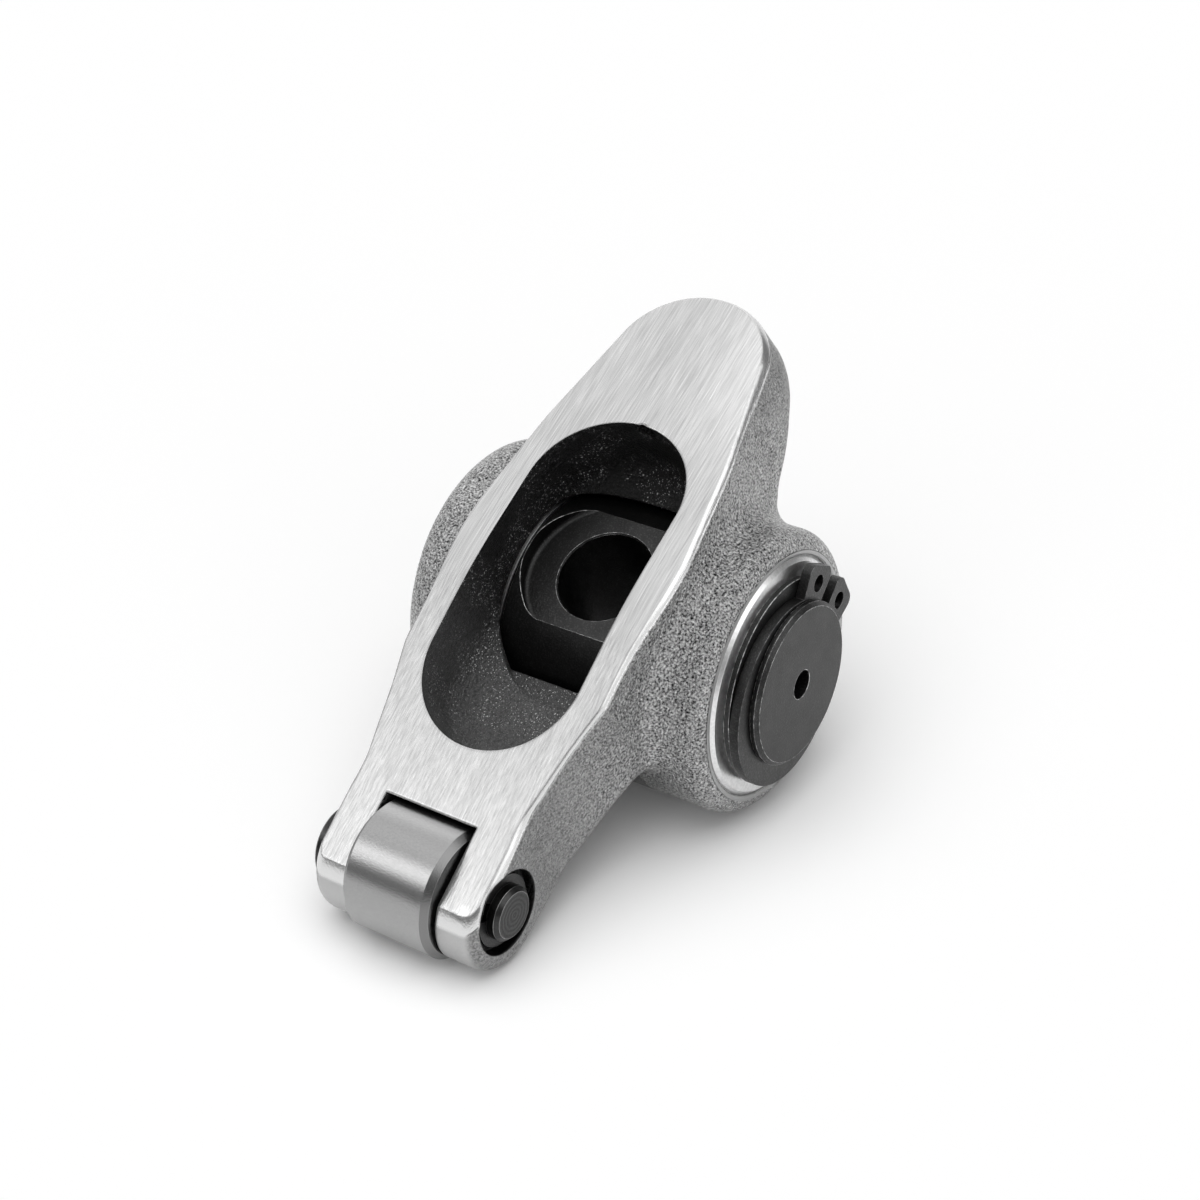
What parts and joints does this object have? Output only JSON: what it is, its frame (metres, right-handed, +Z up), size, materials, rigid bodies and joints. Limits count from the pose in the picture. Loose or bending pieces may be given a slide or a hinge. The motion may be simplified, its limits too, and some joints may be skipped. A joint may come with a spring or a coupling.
{
  "type": "rocker arm",
  "caption": "Steel roller rocker arm with a needle-bearing trunnion, a stud window, a nose roller and a pushrod socket.",
  "frame": {"origin": "middle of the trunnion, on the stud hole's axis and on the trunnion's axis", "axes": "+Z up as the loose arm lies, +X from the pushrod end to the roller end, +Y along the trunnion to the side with the roller pin's clip; the stud's axis leans 30.96 degrees from +Z towards +X"},
  "size_m": [0.0652, 0.0384, 0.0444],
  "materials": {
    "cast_steel": "investment cast, satin, with a polished top",
    "hard_steel": "hardened and ground",
    "black_steel": "black oxide",
    "bearing_steel": "bright drawn",
    "cage_steel": "pressed",
    "spring_steel": "phosphated spring steel",
    "ground_steel": "ground"
  },
  "bodies": {
    "arm": {"rocker_body": "cast_steel", "pushrod_seat": "hard_steel", "bearing_cup_left": "bearing_steel", "bearing_cup_right": "bearing_steel", "roller_pin": "hard_steel", "pin_clip": "spring_steel"},
    "trunnion": {"trunnion": "black_steel", "inner_washer_left": "bearing_steel", "inner_washer_right": "bearing_steel", "outer_washer_left": "black_steel", "outer_washer_right": "black_steel", "retaining_ring_left": "spring_steel", "retaining_ring_right": "spring_steel"},
    "needles_left": {"bearing_cage_left": "cage_steel", "needles_left": "bearing_steel"},
    "needles_right": {"bearing_cage_right": "cage_steel", "needles_right": "bearing_steel"},
    "roller": {"roller": "ground_steel"}
  },
  "joints": [
    {"name": "trunnion_spin", "type": "hinge", "parent": "arm", "child": "trunnion", "pos_m": [0, 0, 0], "axis": [0, 1, 0], "continuous": true},
    {"name": "needles_left_spin", "type": "hinge", "parent": "arm", "child": "needles_left", "pos_m": [0, 0.0125, 0], "axis": [0, 1, 0], "continuous": true},
    {"name": "needles_right_spin", "type": "hinge", "parent": "arm", "child": "needles_right", "pos_m": [0, -0.0125, 0], "axis": [0, 1, 0], "continuous": true},
    {"name": "roller_spin", "type": "hinge", "parent": "arm", "child": "roller", "pos_m": [0.03538, 0, -0.00814], "axis": [0, 1, 0], "continuous": true}
  ],
  "couplings": [
    {"joint": "needles_left_spin", "follows": "trunnion_spin", "ratio": 0.4361},
    {"joint": "needles_right_spin", "follows": "trunnion_spin", "ratio": 0.4361}
  ]
}
